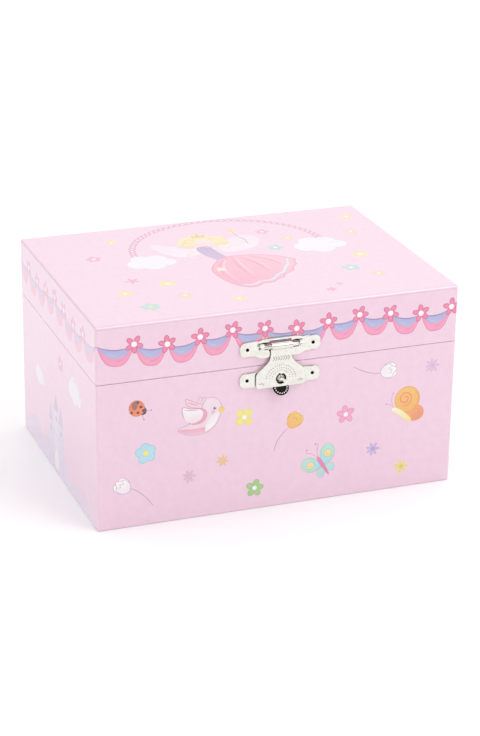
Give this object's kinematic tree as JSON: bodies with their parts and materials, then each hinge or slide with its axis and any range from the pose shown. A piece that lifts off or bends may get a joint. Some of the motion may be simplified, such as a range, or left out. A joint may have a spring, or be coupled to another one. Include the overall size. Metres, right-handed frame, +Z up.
{
  "type": "ballerina jewellery box",
  "caption": "Paper-covered keepsake box with a hinged mirror lid, a front hasp, lined compartments and a wind-up musical movement that turns a dancer.",
  "frame": {"origin": "centre of the underside, on the surface that the box stands on", "axes": "+X to the right along the front, +Y from the front to the back, +Z up"},
  "size_m": [0.152, 0.1337, 0.086],
  "materials": {
    "fibreboard": "raw medium-density fibreboard",
    "printed_paper": "pale pink printed paper with a soft sheen",
    "lining": "short pink flock",
    "ring_foam": "pink velvet over soft foam",
    "mirror_glass": "silvered glass",
    "mirror_trim": "gilt-edged card",
    "nickel_plate": "bright nickel plate on pressed steel",
    "zinc_casting": "die-cast alloy, plated",
    "steel": "bright steel",
    "brass": "turned brass",
    "nylon": "moulded white nylon",
    "doll_plastic": "painted doll plastic",
    "tulle": "stiff gathered net"
  },
  "bodies": {
    "base": {"back_board": "fibreboard", "bottom_board": "fibreboard", "front_board": "fibreboard", "left_board": "fibreboard", "right_board": "fibreboard", "base_paper": "printed_paper", "base_lining": "lining", "long_divider": "lining", "cross_divider": "lining", "ring_divider": "lining", "ring_bed": "lining", "dancer_deck": "lining", "ring_roll_1": "ring_foam", "ring_roll_2": "ring_foam", "ring_roll_3": "ring_foam", "ring_roll_4": "ring_foam", "catch_plate": "nickel_plate", "catch_nail_left": "nickel_plate", "catch_nail_right": "nickel_plate", "hinge_left_base_leaf": "nickel_plate", "hinge_right_base_leaf": "nickel_plate", "hinge_left_pin": "nickel_plate", "hinge_right_pin": "nickel_plate", "movement_bedplate": "zinc_casting", "spring_barrel": "zinc_casting", "mainspring": "steel", "music_comb": "steel", "governor_frame": "zinc_casting"},
    "lid": {"lid_back_board": "fibreboard", "lid_front_board": "fibreboard", "lid_left_board": "fibreboard", "lid_lining": "lining", "lid_paper": "printed_paper", "lid_right_board": "fibreboard", "lid_top_board": "fibreboard", "mirror": "mirror_glass", "mirror_trim": "mirror_trim", "hasp_plate": "nickel_plate", "hasp_pin": "nickel_plate", "hasp_nail_left": "nickel_plate", "hasp_nail_right": "nickel_plate", "hinge_left_lid_leaf": "nickel_plate", "hinge_right_lid_leaf": "nickel_plate"},
    "hasp": {"hasp_flap": "nickel_plate"},
    "winder": {"winding_key": "zinc_casting", "winding_arbor": "steel", "drive_wheel": "brass"},
    "cylinder": {"tune_cylinder": "brass", "cylinder_pinion": "brass", "cylinder_wheel": "brass"},
    "governor_wheel": {"governor_wheel": "nylon"},
    "governor_fan": {"governor_fan": "nylon"},
    "spindle": {"dancer_spindle": "nylon", "turntable": "nylon"},
    "stop_rod": {"stop_rod": "steel"},
    "dancer_fold": {"dancer_spring": "steel", "spring_cup": "steel"},
    "dancer": {"dancer_figure": "doll_plastic", "dancer_tutu": "tulle"}
  },
  "joints": [
    {"name": "lid_hinge", "type": "hinge", "parent": "base", "child": "lid", "pos_m": [0, 0.0571, 0.062], "axis": [-1, 0, 0], "range_deg": [0, 100]},
    {"name": "hasp_swing", "type": "hinge", "parent": "lid", "child": "hasp", "pos_m": [-0.0006, -0.0567, 0.0701], "axis": [-1, 0, 0], "range_deg": [0, 160]},
    {"name": "cylinder_spin", "type": "hinge", "parent": "base", "child": "cylinder", "pos_m": [0.0535, 0.03025, 0.0205], "axis": [1, 0, 0], "continuous": true},
    {"name": "key_turn", "type": "hinge", "parent": "base", "child": "winder", "pos_m": [0.032, 0.055, 0.0205], "axis": [0, 1, 0], "continuous": true},
    {"name": "governor_wheel_spin", "type": "hinge", "parent": "base", "child": "governor_wheel", "pos_m": [0.0675, 0.03025, 0.02849], "axis": [1, 0, 0], "continuous": true},
    {"name": "governor_fan_spin", "type": "hinge", "parent": "base", "child": "governor_fan", "pos_m": [0.0675, 0.03595, 0.02849], "axis": [0, 0, 1], "continuous": true},
    {"name": "spindle_spin", "type": "hinge", "parent": "base", "child": "spindle", "pos_m": [0.032, 0.03025, 0.045], "axis": [0, 0, 1], "continuous": true},
    {"name": "stop_rod_slide", "type": "slide", "parent": "base", "child": "stop_rod", "axis": [0, 0, 1], "range_m": [0, 0.004]},
    {"name": "dancer_bow", "type": "hinge", "parent": "base", "child": "dancer_fold", "pos_m": [0.032, 0.03025, 0.051], "axis": [-1, 0, 0], "range_deg": [0, 63], "deforming": ["dancer_spring"]},
    {"name": "dancer_spin", "type": "hinge", "parent": "dancer_fold", "child": "dancer", "pos_m": [0.032, 0.03025, 0.051], "axis": [0, -0.891, 0.454], "continuous": true}
  ],
  "couplings": [
    {"joint": "key_turn", "follows": "cylinder_spin", "ratio": -0.25},
    {"joint": "governor_wheel_spin", "follows": "cylinder_spin", "ratio": -4},
    {"joint": "governor_fan_spin", "follows": "cylinder_spin", "ratio": 80},
    {"joint": "spindle_spin", "follows": "cylinder_spin", "ratio": 1},
    {"joint": "dancer_spin", "follows": "cylinder_spin", "ratio": 1},
    {"joint": "dancer_bow", "follows": "lid_hinge", "ratio": 0.63},
    {"joint": "stop_rod_slide", "follows": "lid_hinge", "m_per_rad": 0.002291}
  ]
}
